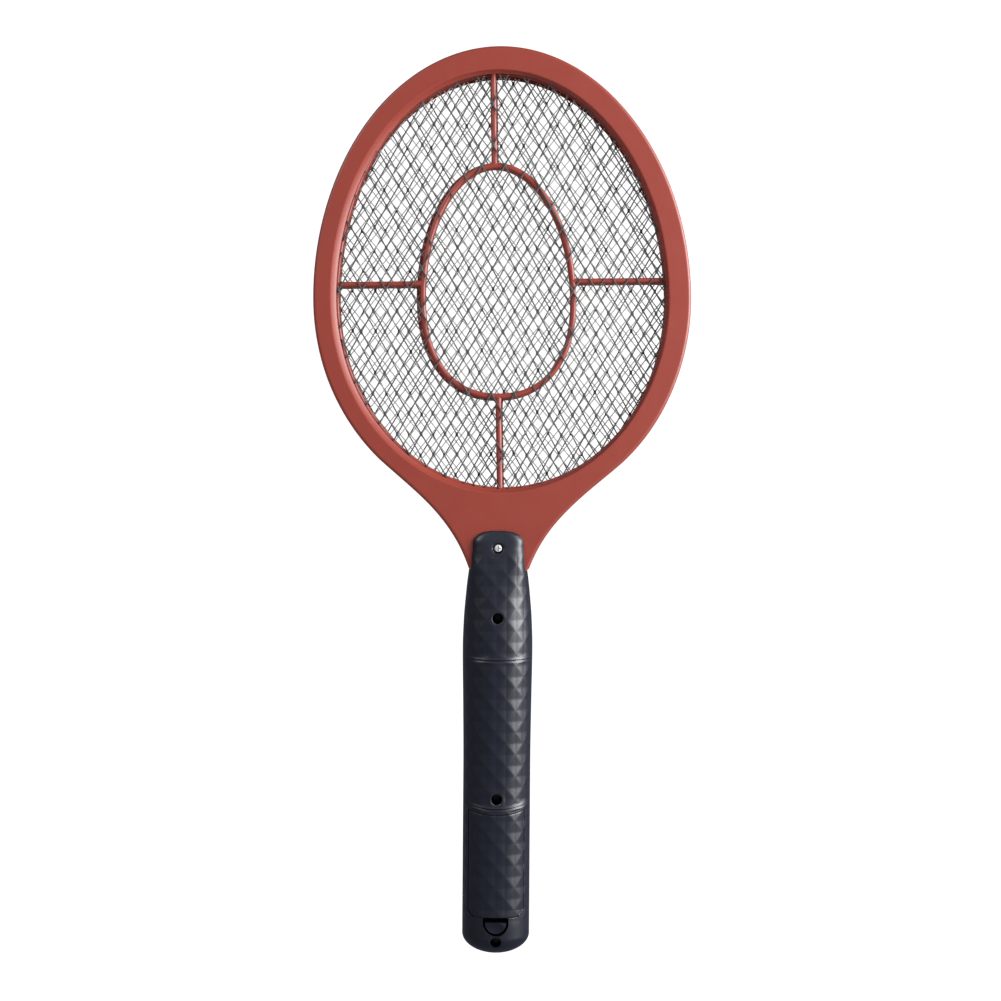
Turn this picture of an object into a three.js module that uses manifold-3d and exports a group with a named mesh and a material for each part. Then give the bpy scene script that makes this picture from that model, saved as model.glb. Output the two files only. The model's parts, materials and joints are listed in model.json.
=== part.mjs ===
// Electric fly swatter, in millimetres. +Z runs up the handle to the head, -Y is the rear (door and
// screws), +Y is the front (button). Heights below count from the butt end of the handle; the finished
// pieces are moved down by GRIP_HEIGHT so that the origin is where the hand holds it.
import * as THREE from "three";
import { mergeVertices } from "three/addons/utils/BufferGeometryUtils.js";
import Module from "manifold-3d";

const wasm = await Module();
wasm.setup();

const GRIP_HEIGHT = 115;
const GAP = 0.3;
const PARTING = 0.15;

// Head: an egg-shaped outline of [half width, rise above centre, drop below centre].
const HEAD_CENTRE = 331;
const HEAD_OUTLINE = [95.2, 127.4, 108.4];
const HEAD_DEPTH = 9;
const RIM_WALL = 2.8;
const FLAT_EDGE = [85.2, 117, 98.4];
const LIP_EDGE = [83.3, 114.9, 96.4];
const OPENING = [81.7, 113, 94.4];
const LIP_DEPTH = 6;
const SEAT_DEPTH = 5.95;
const SPACER_OUTER = [92, 124.2, 105.2];
const SPACER_FACE = 5.2;
const SPACER_INNER = 0.65;
const RIB_CENTRE = 330.7;
const RIB_OUTLINE = [38.6, 67.6, 49];
const RIB_WIDTH = 2.8;
const SPOKE_HEIGHT = 339.3;
const SPOKE_WIDTH = 2.4;
const EGG_STEPS = 48;
const RIM_ROUNDING = 1.3;
const NECK_SEAT = 0.3;

// Neck: [height, half width] from the head down to the handle, then the tongue inside it.
const NECK = [[249, 62], [239.3, 50], [227.2, 36.5], [215.2, 26.2], [205, 19.6], [195, 15]];
const TONGUE_HALF = 11.5;
const TONGUE_BOTTOM = 178;

// Nets: strip width, thickness and diamond size of the outer and the middle nets.
const NET_THICKNESS = 0.6;
const NET_OUTER = [87.4, 119.2, 100.6];
const NET_BORDER = 3.4;
const OUTER_NET = { y: 5.6, cell: [29.5, 52], strip: 0.8 };
const MIDDLE_NET = { y: 0, cell: [29.5, 39], strip: 0.6 };
const TAB_BOTTOM = 219;

// Handle: [height, half width, half depth, roundness exponent] stations, and the wall.
const HANDLE = [
  [0.5, 5.3, 4.9, 2], [1.5, 9, 8.2, 2], [3, 12.1, 11.1, 2], [5, 14.7, 13.4, 2.1], [7.5, 16.4, 15, 2.2],
  [10, 17, 15.5, 2.3], [95, 17, 15.5, 2.3], [125, 17.3, 16, 2.3], [155, 17.8, 16.5, 2.3],
  [170, 17.2, 15.9, 2.3], [180, 16.4, 15, 2.5], [188, 15.6, 14.2, 3], [197, 14.5, 13.4, 4.2],
  [205, 13.4, 12.6, 4.4], [208.6, 13, 12.1, 5], [211, 11.7, 11.5, 4.6], [212.9, 9, 10.9, 4],
];
const HANDLE_TOP = 213.8;
const WALL = 2.2;
const CAVITY_BOTTOM = 4;
const CAVITY_TOP = 194.2;

// Battery bay and its door.
// The door's top edge dips in the middle by DOOR.dip times the square of the distance from the centre.
const DOOR = { bottom: 21.1, top: 72.2, dip: 0.01, half: 13.8, corner: 3, thickness: 1.9 };
const LATCH = { bottom: 12.2, top: 17.8, half: 5.5, margin: 1, sink: 0.8, thickness: 1.8 };
const CELL_RADIUS = 7;
const CELL_OFFSET = 7.15;
const CELL_BODY = 49.3;
const NUB = { radius: 2.7, height: 1.2 };
const CONTACT_THICKNESS = 0.4;
const LOWER_BULKHEAD = [17.6, 19.3];
const UPPER_BULKHEAD = [76.5, 78.2];

// Screws: height, depth of the head's top, and where its shank ends.
const SCREWS = [
  { z: 205, head: 12.2, end: 3 },
  { z: 170, head: 9.5, end: 5.5 },
  { z: 80.4, head: 9.5, end: 5.5 },
  { z: 8.6, head: 9, end: 5.5 },
];
const HEAD_RADIUS = 2.2;
const HEAD_THICKNESS = 1.5;
const SHANK_RADIUS = 1.3;
const COUNTERBORE_RADIUS = 2.75;
const FRAME_BORE = 3.8;
const NECK_POST = 6.6;

// Button, switch and circuit board.
const BUTTON = { z: 140, half: [5, 10], top: 17.6 };
const BOARD = { y: [3, 4.6], half: 11, z: [88, 163] };
const BOARD_SCREWS = [[0, 94], [0, 157]];
const TRANSFORMER = { z: 106, y: -2.9 };
const LED = { z: 118, radius: 1.5, top: 17 };

const RED = { color: 0xa8473b, roughness: 0.45, metalness: 0 };
const BLACK = { color: 0x23252d, roughness: 0.42, metalness: 0 };
const STEEL = { color: 0xb4b7ba, roughness: 0.3, metalness: 1 };
const WIRE_STEEL = { color: 0x55565a, roughness: 0.35, metalness: 1 };
const GREEN = { color: 0x2d6a45, roughness: 0.5, metalness: 0 };
const FERRITE = { color: 0x3b3b3e, roughness: 0.7, metalness: 0 };
const TAPE = { color: 0xc9b04a, roughness: 0.55, metalness: 0 };
const FILM = { color: 0x8c3a22, roughness: 0.35, metalness: 0 };
const CERAMIC = { color: 0x3f6fa8, roughness: 0.5, metalness: 0 };
const RESIN = { color: 0x18181a, roughness: 0.5, metalness: 0 };
const RESISTOR = { color: 0xc8a984, roughness: 0.55, metalness: 0 };
const LENS = { color: 0xc02a20, roughness: 0.15, metalness: 0 };
const CELL = { color: 0x3d6d52, roughness: 0.4, metalness: 0.2 };
const RED_WIRE = { color: 0xb02a22, roughness: 0.5, metalness: 0 };
const BLACK_WIRE = { color: 0x1c1c1e, roughness: 0.5, metalness: 0 };

// ---- Solids from three.js geometry ----

function solid(geometry) {
  const bare = geometry.clone();
  bare.deleteAttribute("normal");
  bare.deleteAttribute("uv");
  const merged = mergeVertices(bare, 1e-4);
  const mesh = new wasm.Mesh({
    numProp: 3,
    vertProperties: merged.attributes.position.array,
    triVerts: new Uint32Array(merged.index.array),
  });
  return new wasm.Manifold(mesh);
}

function geometryOf(manifold) {
  const mesh = manifold.getMesh();
  const indexed = new THREE.BufferGeometry();
  indexed.setAttribute("position", new THREE.BufferAttribute(mesh.vertProperties, 3));
  indexed.setIndex(new THREE.BufferAttribute(mesh.triVerts, 1));
  const flat = indexed.toNonIndexed();
  flat.computeVertexNormals();
  return flat;
}

function box(x, y, z) {
  const geometry = new THREE.BoxGeometry(x[1] - x[0], y[1] - y[0], z[1] - z[0]);
  geometry.translate((x[0] + x[1]) / 2, (y[0] + y[1]) / 2, (z[0] + z[1]) / 2);
  return solid(geometry);
}

// A cylinder along Y from y[0] to y[1].
function pinY(x, z, radius, y, sides = 16) {
  const geometry = new THREE.CylinderGeometry(radius, radius, y[1] - y[0], sides);
  geometry.translate(x, (y[0] + y[1]) / 2, z);
  return solid(geometry);
}

// A cylinder along X from x[0] to x[1].
function pinX(x, y, z, radius, sides = 14) {
  const geometry = new THREE.CylinderGeometry(radius, radius, x[1] - x[0], sides);
  geometry.rotateZ(Math.PI / 2);
  geometry.translate((x[0] + x[1]) / 2, y, z);
  return solid(geometry);
}

// A cylinder along Z from z[0] to z[1].
function pinZ(x, y, z, radius, sides = 14) {
  const geometry = new THREE.CylinderGeometry(radius, radius, z[1] - z[0], sides);
  geometry.rotateX(Math.PI / 2);
  geometry.translate(x, y, (z[0] + z[1]) / 2);
  return solid(geometry);
}

// A shape drawn in X and Z, pushed through from y[0] to y[1], with an optional rounded edge.
function prism(points, y, rounding = 0, holes = []) {
  const shape = new THREE.Shape(points);
  shape.holes = holes.map((hole) => new THREE.Path(hole));
  const geometry = new THREE.ExtrudeGeometry(shape, {
    depth: y[1] - y[0] - 2 * rounding,
    bevelEnabled: rounding > 0,
    bevelThickness: rounding,
    bevelSize: rounding,
    bevelOffset: -rounding,
    bevelSegments: 2,
    steps: 1,
  });
  geometry.rotateX(Math.PI / 2);
  geometry.translate(0, y[1] - rounding, 0);
  return solid(geometry);
}

// A wire of round section through a list of points.
function wire(points, radius, steps, sides) {
  const ring = Array.from({ length: sides }, (_, i) => {
    const angle = (2 * Math.PI * i) / sides;
    return new THREE.Vector2(radius * Math.cos(angle), radius * Math.sin(angle));
  });
  const path = new THREE.CatmullRomCurve3(points.map((p) => new THREE.Vector3(...p)));
  return solid(new THREE.ExtrudeGeometry(new THREE.Shape(ring), { steps, extrudePath: path }));
}

// ---- Shared outlines ----

function eggPoints([half, up, down], centre = HEAD_CENTRE, steps = EGG_STEPS) {
  return Array.from({ length: steps }, (_, i) => {
    const angle = (2 * Math.PI * i) / steps;
    const rise = Math.sin(angle) > 0 ? up : down;
    return new THREE.Vector2(half * Math.cos(angle), centre + rise * Math.sin(angle));
  });
}

function grow([half, up, down], amount) {
  return [half + amount, up + amount, down + amount];
}

// The rim, neck and tongue in one outline, drawn anticlockwise from the neck's right side.
function headOutline(inset, tongueBottom) {
  const [, , down] = HEAD_OUTLINE;
  const start = Math.asin((NECK[0][0] - HEAD_CENTRE) / down);
  const steps = 42;
  const egg = grow(HEAD_OUTLINE, -inset);
  const rim = Array.from({ length: steps + 1 }, (_, i) => {
    const angle = start + ((Math.PI - 2 * start) * i) / steps;
    const rise = Math.sin(angle) > 0 ? egg[1] : egg[2];
    return new THREE.Vector2(egg[0] * Math.cos(angle), HEAD_CENTRE + rise * Math.sin(angle));
  });
  const side = NECK.slice(1).map(([z, half]) => [z, half - 1.15 * inset]);
  const tongue = TONGUE_HALF - inset;
  side.push([NECK[NECK.length - 1][0] + inset, tongue], [tongueBottom, tongue]);
  const left = side.map(([z, half]) => new THREE.Vector2(-half, z));
  const right = side.map(([z, half]) => new THREE.Vector2(half, z)).reverse();
  return [...rim, ...left, ...right];
}

function stadium(halfWidth, halfHeight, centre, steps = 6) {
  const points = [];
  for (const end of [1, -1]) {
    for (let i = 0; i <= steps; i += 1) {
      const angle = (Math.PI * i) / steps + (end > 0 ? 0 : Math.PI);
      const z = centre + end * (halfHeight - halfWidth) + halfWidth * Math.sin(angle);
      points.push(new THREE.Vector2(halfWidth * Math.cos(angle), z));
    }
  }
  return points;
}

// ---- Head ----

// The opening, narrowing from the flat face at +HEAD_DEPTH to the lip.
function funnel() {
  const outer = eggPoints(grow(FLAT_EDGE, 0.35));
  const inner = eggPoints(LIP_EDGE);
  const positions = [];
  const levels = [[inner, 0], [inner, LIP_DEPTH], [outer, HEAD_DEPTH + 0.5]];
  levels.forEach(([points, y]) => points.forEach((p) => positions.push(p.x, y, p.y)));
  positions.push(0, 0, HEAD_CENTRE, 0, HEAD_DEPTH + 0.5, HEAD_CENTRE);
  return solid(ringSkin(positions, levels.length, EGG_STEPS, true));
}

// A closed skin over stacked rings of points; the last two points close the first and last rings.
function ringSkin(positions, rings, steps, flipped) {
  const index = [];
  const push = (a, b, c) => (flipped ? index.push(a, c, b) : index.push(a, b, c));
  for (let i = 0; i < steps; i += 1) {
    const next = (i + 1) % steps;
    for (let r = 0; r + 1 < rings; r += 1) {
      const [low, high] = [r * steps, (r + 1) * steps];
      push(low + i, low + next, high + next);
      push(low + i, high + next, high + i);
    }
    push(rings * steps, next, i);
    push(rings * steps + 1, (rings - 1) * steps + i, (rings - 1) * steps + next);
  }
  const geometry = new THREE.BufferGeometry();
  geometry.setAttribute("position", new THREE.Float32BufferAttribute(positions, 3));
  geometry.setIndex(index);
  return geometry;
}

// The shallow seat in the neck's flat face that the top of the handle lies in.
function neckSeat() {
  const side = HANDLE.filter(([z]) => z > 185).map(([z, half]) => [half + 0.6, z]);
  side.push([7, HANDLE_TOP + 0.5]);
  const left = side.map(([half, z]) => new THREE.Vector2(-half, z)).reverse();
  const right = side.map(([half, z]) => new THREE.Vector2(half, z));
  return prism([...right, ...left], [HEAD_DEPTH - NECK_SEAT, HEAD_DEPTH + 2]);
}

function frontFrame() {
  const body = prism(headOutline(0, TONGUE_BOTTOM), [-HEAD_DEPTH, HEAD_DEPTH], RIM_ROUNDING);
  const hollow = prism(headOutline(RIM_WALL, TONGUE_BOTTOM - 5), [-SEAT_DEPTH, SEAT_DEPTH]);
  const rear = box([-110, 110], [-20, PARTING], [150, 470]);
  const bore = pinY(0, SCREWS[0].z, FRAME_BORE, [-20, 20]);
  return body.subtract(hollow).subtract(funnel()).subtract(rear).subtract(bore).subtract(neckSeat());
}

function frontSpacer() {
  const y = [SPACER_INNER, SPACER_FACE];
  const ring = prism(eggPoints(SPACER_OUTER), y, 0, [eggPoints(OPENING)]);
  const half = RIB_WIDTH / 2;
  const rib = prism(
    eggPoints(grow(RIB_OUTLINE, half), RIB_CENTRE, 48), y, 0,
    [eggPoints(grow(RIB_OUTLINE, -half), RIB_CENTRE, 48)],
  );
  const across = SPOKE_WIDTH / 2;
  const [inner, outer] = [RIB_OUTLINE[0], OPENING[0] + 2];
  const right = box([inner, outer], y, [SPOKE_HEIGHT - across, SPOKE_HEIGHT + across]);
  const left = box([-outer, -inner], y, [SPOKE_HEIGHT - across, SPOKE_HEIGHT + across]);
  const upper = box([-half, half], y, [RIB_CENTRE + RIB_OUTLINE[1], HEAD_CENTRE + OPENING[1] + 2]);
  const lower = box([-half, half], y, [HEAD_CENTRE - OPENING[2] - 2, RIB_CENTRE - RIB_OUTLINE[2]]);
  return ring.add(rib).add(right).add(left).add(upper).add(lower);
}

// The part of a convex polygon inside the egg-shaped polygon of `fence` points.
function clip(polygon, fence) {
  let kept = polygon;
  for (let i = 0; i < fence.length && kept.length > 2; i += 1) {
    const a = fence[i];
    const b = fence[(i + 1) % fence.length];
    const side = (p) => (b.x - a.x) * (p.y - a.y) - (b.y - a.y) * (p.x - a.x);
    const cut = [];
    kept.forEach((p, j) => {
      const q = kept[(j + 1) % kept.length];
      const [sp, sq] = [side(p), side(q)];
      if (sp >= 0) cut.push(p);
      if (sp >= 0 !== sq >= 0) cut.push(p.clone().lerp(q, sp / (sp - sq)));
    });
    kept = cut;
  }
  return kept;
}

function areaOf(polygon) {
  return polygon.length < 3 ? 0 : Math.abs(THREE.ShapeUtils.area(polygon));
}

// Diamond holes on a staggered grid, each shrunk by half a strip and clipped by the border.
function diamonds({ cell, strip }) {
  const fence = eggPoints(grow(NET_OUTER, -NET_BORDER));
  const [w, h] = [cell[0] / 2, cell[1] / 2];
  const shrink = 1 - (strip / 2) * Math.hypot(1 / w, 1 / h);
  const holes = [];
  for (let row = -8; row <= 8; row += 1) {
    for (let column = -8; column <= 8; column += 1) {
      for (const half of [0, 1]) {
        const x = (2 * column + half) * w;
        const z = HEAD_CENTRE + (2 * row + half) * h;
        const corners = [[w, 0], [0, h], [-w, 0], [0, -h]];
        const hole = clip(
          corners.map(([dx, dz]) => new THREE.Vector2(x + dx * shrink, z + dz * shrink)), fence,
        );
        if (areaOf(hole) > 6) holes.push(hole);
      }
    }
  }
  return holes;
}

// A net in one piece: border, strips and the tab its lead is joined to.
function net(kind, y, tabX) {
  const span = [y - NET_THICKNESS / 2, y + NET_THICKNESS / 2];
  const mesh = prism(eggPoints(NET_OUTER), span, 0, diamonds(kind));
  const tab = box([tabX - 1.5, tabX + 1.5], span, [TAB_BOTTOM, HEAD_CENTRE - NET_OUTER[2] + 2]);
  return mesh.add(tab);
}

// ---- Handle ----

function handleLoft(inset, bottom, top) {
  const segments = 26;
  const stations = HANDLE.filter(([z]) => z > bottom && z < top);
  const positions = [];
  const ring = ([z, halfWidth, halfDepth, exponent]) => {
    for (let i = 0; i < segments; i += 1) {
      const angle = (2 * Math.PI * i) / segments;
      const [c, s] = [Math.cos(angle), Math.sin(angle)];
      const x = (halfWidth - inset) * Math.sign(c) * Math.abs(c) ** (2 / exponent);
      const y = (halfDepth - inset) * Math.sign(s) * Math.abs(s) ** (2 / exponent);
      positions.push(x, y, z);
    }
  };
  stations.forEach(ring);
  const last = stations[stations.length - 1];
  if (inset > 0) ring([top, last[1], last[2], last[3]]);
  positions.push(0, 0, bottom, 0, 0, inset > 0 ? top + 0.01 : top);
  const rings = stations.length + (inset > 0 ? 1 : 0);
  return solid(ringSkin(positions, rings, segments, false));
}

function handleSkin() {
  return handleLoft(0, 0, HANDLE_TOP);
}

function handleCavity() {
  return handleLoft(WALL, CAVITY_BOTTOM, CAVITY_TOP);
}

// Room for the neck and tongue of the head, with clearance.
function neckRoom() {
  const depth = HEAD_DEPTH + GAP;
  const points = headOutline(-GAP, TONGUE_BOTTOM - 5);
  return prism(points, [-depth, depth]);
}

// A D on its back: round below, flat at the top.
function latchPoints(margin, top) {
  const half = LATCH.half + margin;
  const low = LATCH.bottom - margin;
  const drop = LATCH.top - LATCH.bottom + margin;
  const arc = Array.from({ length: 11 }, (_, i) => {
    const angle = Math.PI + (Math.PI * i) / 10;
    return new THREE.Vector2(half * Math.cos(angle), low + drop + drop * Math.sin(angle));
  });
  if (top > low + drop) arc.push(new THREE.Vector2(half, top), new THREE.Vector2(-half, top));
  return arc;
}

// The door's outline, or the opening round it with a margin.
function doorPoints(margin) {
  const half = DOOR.half + margin;
  const low = DOOR.bottom - margin;
  const corner = DOOR.corner;
  const top = Array.from({ length: 9 }, (_, i) => {
    const x = half - (2 * half * i) / 8;
    return new THREE.Vector2(x, DOOR.top + DOOR.dip * x * x + margin);
  });
  const foot = [[-half, low + corner], [-half + corner, low], [half - corner, low], [half, low + corner]];
  return [...top, ...foot.map(([x, z]) => new THREE.Vector2(x, z))];
}

function rearShell() {
  let shell = handleSkin().subtract(handleCavity());
  for (const screw of SCREWS.slice(1)) {
    const post = pinY(0, screw.z, 4, [-20, 0]);
    shell = shell.add(post.intersect(handleSkin()));
  }
  shell = shell.subtract(neckRoom());
  shell = shell.subtract(box([-20, 20], [-PARTING, 20], [-1, 220]));
  shell = shell.subtract(prism(doorPoints(GAP), [-20, -2]));
  shell = shell.subtract(prism(latchPoints(LATCH.margin, DOOR.bottom), [-20, -7]));
  for (const screw of SCREWS) {
    const floor = -screw.head + HEAD_THICKNESS + 0.1;
    shell = shell.subtract(pinY(0, screw.z, COUNTERBORE_RADIUS, [-20, floor]));
    shell = shell.subtract(pinY(0, screw.z, SHANK_RADIUS + GAP, [-20, 1]));
  }
  return shell;
}

function bulkhead([low, high]) {
  const plate = box([-12, 12], [-5.5, 20], [low, high]).intersect(handleSkin());
  return plate.subtract(box([-4.5, 4.5], [-10, PARTING], [low - 1, high + 1]));
}

function frontShell() {
  let shell = handleSkin().subtract(handleCavity()).subtract(neckRoom());
  for (const screw of SCREWS.slice(1)) {
    shell = shell.add(pinY(0, screw.z, 3.5, [0, 20]).intersect(handleSkin()));
  }
  for (const [x, z] of BOARD_SCREWS) {
    shell = shell.add(pinY(x, z, 2.6, [BOARD.y[1] + GAP, 20], 14).intersect(handleSkin()));
  }
  shell = shell.subtract(box([-20, 20], [-20, PARTING], [-1, 220]));
  shell = shell.add(bulkhead(LOWER_BULKHEAD)).add(bulkhead(UPPER_BULKHEAD));
  const neckPost = pinY(0, SCREWS[0].z, FRAME_BORE - GAP, [-NECK_POST, HEAD_DEPTH + 1.5]);
  shell = shell.add(neckPost);
  for (const screw of SCREWS) {
    shell = shell.subtract(pinY(0, screw.z, SHANK_RADIUS + GAP, [-20, screw.end + 0.8]));
  }
  for (const [x, z] of BOARD_SCREWS) {
    shell = shell.subtract(pinY(x, z, 1.3, [-1, 10.5], 14));
  }
  const { half, z } = BUTTON;
  shell = shell.subtract(prism(stadium(half[0] + GAP, half[1] + GAP, z), [5, 25]));
  return shell.subtract(pinY(0, LED.z, LED.radius + GAP, [5, 25], 16));
}

function handleScrew({ z, head, end }) {
  const cap = pinY(0, z, HEAD_RADIUS, [-head, -head + HEAD_THICKNESS]);
  const shank = pinY(0, z, SHANK_RADIUS, [-head + HEAD_THICKNESS - 0.1, end]);
  const slotY = [-head - 1, -head + 0.7];
  const level = box([-1.5, 1.5], slotY, [z - 0.3, z + 0.3]);
  const upright = box([-0.3, 0.3], slotY, [z - 1.5, z + 1.5]);
  return cap.add(shank).subtract(level).subtract(upright);
}

function batteryDoor() {
  const skin = handleSkin().subtract(handleLoft(DOOR.thickness, 8, 100));
  let door = skin.intersect(prism(doorPoints(0), [-20, -2.5]));
  for (const x of [-7.5, 7.5]) {
    const hook = box([x - 1.5, x + 1.5], [-10.8, -9.5], [DOOR.top - 4, DOOR.top + 2.6]);
    const root = box([x - 1.5, x + 1.5], [-12.6, -9.5], [DOOR.top - 4, DOOR.top - 0.2]);
    door = door.add(hook).add(root);
  }
  return door;
}

function doorLatch() {
  const outside = handleLoft(LATCH.sink, 2, 100);
  const inside = handleLoft(LATCH.sink + LATCH.thickness, 2, 100);
  return outside.subtract(inside).intersect(prism(latchPoints(0, LATCH.top), [-20, -7]));
}

// ---- Battery bay ----

function cell(x, pointsUp) {
  const low = pointsUp ? 24.7 : 20.2 + NUB.height;
  const body = pinZ(x, 0, [low, low + CELL_BODY], CELL_RADIUS, 28);
  const top = low + CELL_BODY;
  const nub = pointsUp ? [top - 0.1, top + NUB.height] : [low - NUB.height, low + 0.1];
  return body.add(pinZ(x, 0, nub, NUB.radius, 16));
}

// A coil that tapers from its plate to the cell, with a flat disc end.
function coil(x, start, end) {
  const turns = 3;
  const points = Array.from({ length: turns * 8 + 1 }, (_, i) => {
    const t = i / (turns * 8);
    const angle = 2 * Math.PI * turns * t;
    const radius = 4 - 1.7 * t;
    return [x + radius * Math.cos(angle), radius * Math.sin(angle), start + (end - start) * t];
  });
  return wire(points, 0.4, turns * 8, 4);
}

function plate(x, z) {
  return box([x - 4.5, x + 4.5], [-7.4, 5], [z, z + CONTACT_THICKNESS]);
}

function positiveContact() {
  return plate(-CELL_OFFSET, 75.75);
}

function negativeContact() {
  return plate(CELL_OFFSET, 75.75).add(coil(CELL_OFFSET, 75.85, 71.5));
}

function bridgeContact() {
  const strip = box([-11.5, 11.5], [-4.5, 4.5], [19.5, 19.5 + CONTACT_THICKNESS]);
  return strip.add(coil(-CELL_OFFSET, 19.8, 23.9));
}

// ---- Circuit board and its components ----

const REAR_FACE = BOARD.y[0];

function circuitBoard() {
  let board = box([-BOARD.half, BOARD.half], BOARD.y, BOARD.z);
  for (const [x, z] of BOARD_SCREWS) {
    board = board.subtract(pinY(x, z, 1.4, [0, 10], 14));
  }
  return board;
}

function boardScrew([x, z]) {
  const cap = pinY(x, z, 2.3, [REAR_FACE - 1.6, REAR_FACE - 0.1], 14);
  const shank = pinY(x, z, 1.0, [REAR_FACE - 0.2, 9.5], 14);
  return cap.add(shank).subtract(box([x - 1.6, x + 1.6], [0, REAR_FACE - 1.1], [z - 0.25, z + 0.25]));
}

function transformerCore() {
  const { z, y } = TRANSFORMER;
  let core = box([-7, 7], [y - 2.4, y + 2.4], [z - 6.5, z + 6.5]);
  for (const side of [-1, 1]) {
    const x = side > 0 ? [2, 5] : [-5, -2];
    core = core.subtract(box(x, [y - 5, y + 5], [z - 4.6, z + 4.6]));
  }
  return core;
}

function transformerWinding() {
  const { z, y } = TRANSFORMER;
  const outer = box([-4.7, 4.7], [y - 5.3, y + 5.6], [z - 4.3, z + 4.3]);
  return outer.subtract(box([-2.3, 2.3], [y - 2.7, y + 2.7], [z - 6, z + 6]));
}

function hvCapacitor() {
  const points = stadium(3, 8, 0, 5).map((p) => new THREE.Vector2(p.x - 6, p.y + 124));
  return prism(points, [-7.5, REAR_FACE - 0.2], 0.6);
}

// A part with a lead at each end, bent down to the board.
function axial(x, z, radius, length) {
  const y = REAR_FACE - 0.4 - radius;
  const reach = length / 2 + 2;
  const body = pinX([x - length / 2, x + length / 2], y, z, radius, 14);
  const lead = pinX([x - reach, x + reach], y, z, 0.3, 6);
  const legs = [-1, 1].map((side) => pinY(x + side * (reach - 0.3), z, 0.3, [y, REAR_FACE - 0.05], 6));
  return body.add(lead).add(legs[0]).add(legs[1]);
}

function discCapacitor(x, z) {
  const disc = pinZ(x, -2.2, [z - 1.4, z + 1.4], 3.6, 18);
  const legs = [-1, 1].map((side) => pinY(x + 2 * side, z, 0.3, [-1, REAR_FACE - 0.05], 6));
  return disc.add(legs[0]).add(legs[1]);
}

function driveTransistor() {
  const centre = { x: 6, z: 119 };
  const body = pinY(centre.x, centre.z, 2.4, [-4.5, 0], 18);
  const flat = box([centre.x - 4, centre.x + 4], [-6, 2], [centre.z + 1.3, centre.z + 4]);
  let part = body.subtract(flat);
  for (const shift of [-1.3, 0, 1.3]) {
    part = part.add(pinY(centre.x + shift, centre.z, 0.3, [-0.2, REAR_FACE - 0.05], 6));
  }
  return part;
}

function indicatorLed() {
  const dome = new THREE.SphereGeometry(LED.radius, 10, 6);
  dome.translate(0, LED.top - LED.radius, LED.z);
  const body = pinY(0, LED.z, LED.radius, [12, LED.top - LED.radius], 14);
  const collar = pinY(0, LED.z, LED.radius + 0.4, [11.2, 12.2], 14);
  const legs = [-0.8, 0.8].map((x) => pinY(x, LED.z, 0.3, [BOARD.y[1] + 0.05, 11.5], 6));
  return body.add(solid(dome)).add(collar).add(legs[0]).add(legs[1]);
}

function switchBody() {
  const y = [BOARD.y[1] + 0.1, 8.6];
  const body = box([-3.5, 3.5], y, [BUTTON.z - 3.5, BUTTON.z + 3.5]);
  return body.subtract(pinY(0, BUTTON.z, 1.9, [5.9, 10]));
}

function switchPlunger() {
  return pinY(0, BUTTON.z, 1.6, [7.4, 9.9]);
}

function pushButton() {
  const { half, z, top } = BUTTON;
  const cap = prism(stadium(half[0], half[1], z), [11.2, top], 0.7);
  const flange = prism(stadium(half[0] + 1.4, half[1] + 1.4, z), [11.2, 12.4]);
  const stem = pinY(0, z, 2.2, [10, 12]);
  return cap.add(flange).add(stem);
}

// ---- Leads ----

const LEADS = {
  battery_lead_positive: [[-7, -6.8, 76.5], [-8, -6.6, 80], [-8.6, -3, 86], [-8, 1.6, 91], [-8, 1.9, 93]],
  battery_lead_negative: [[7, -6.8, 76.5], [8, -6.6, 80], [8.6, -3, 86], [8, 1.6, 91], [8, 1.9, 93]],
  rear_net_lead: [[-7, -4.3, 222], [-6.8, -4.1, 205], [-6.6, -3.6, 185], [-7.5, 0, 168], [-8, 1.9, 159]],
  middle_net_lead: [[5.4, -1.3, 222], [5.4, -1.6, 205], [5.6, -2, 185], [5.2, 0, 168], [5, 1.9, 159]],
  front_net_lead: [[7.2, 4.3, 222], [7.2, 4.2, 205], [7, 2.6, 185], [8, 1.4, 168], [8.4, 1.9, 159]],
};

function lead(name) {
  return wire(LEADS[name], 0.6, 12, 5);
}

// ---- Assembly ----

const group = new THREE.Group();
group.name = "electric_fly_swatter";

function piece(name, manifold, look) {
  const geometry = geometryOf(manifold);
  geometry.translate(0, 0, -GRIP_HEIGHT);
  const mesh = new THREE.Mesh(geometry, new THREE.MeshStandardMaterial(look));
  mesh.name = name;
  group.add(mesh);
}

function mirrorY(manifold) {
  return manifold.mirror([0, 1, 0]);
}

piece("rear_frame", mirrorY(frontFrame()), RED);
piece("front_frame", frontFrame(), RED);
piece("rear_spacer", mirrorY(frontSpacer()), RED);
piece("front_spacer", frontSpacer(), RED);
piece("rear_net", net(OUTER_NET, -OUTER_NET.y, -7), WIRE_STEEL);
piece("middle_net", net(MIDDLE_NET, MIDDLE_NET.y, 5.4), STEEL);
piece("front_net", net(OUTER_NET, OUTER_NET.y, 7.2), WIRE_STEEL);
piece("handle_rear_shell", rearShell(), BLACK);
piece("handle_front_shell", frontShell(), BLACK);
piece("battery_door", batteryDoor(), BLACK);
piece("door_latch", doorLatch(), BLACK);
SCREWS.forEach((screw, i) => piece(`handle_screw_${i + 1}`, handleScrew(screw), STEEL));
piece("push_button", pushButton(), RED);
piece("switch_body", switchBody(), RESIN);
piece("switch_plunger", switchPlunger(), RESIN);
piece("circuit_board", circuitBoard(), GREEN);
BOARD_SCREWS.forEach((at, i) => piece(`board_screw_${i + 1}`, boardScrew(at), STEEL));
piece("transformer_core", transformerCore(), FERRITE);
piece("transformer_winding", transformerWinding(), TAPE);
piece("hv_capacitor", hvCapacitor(), FILM);
piece("drive_transistor", driveTransistor(), RESIN);
piece("drive_resistor", axial(5.6, 127, 1.1, 4.6), RESISTOR);
[136, 140.5, 145].forEach((z, i) => piece(`diode_${i + 1}`, axial(-5, z, 1.35, 5), RESIN));
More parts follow.
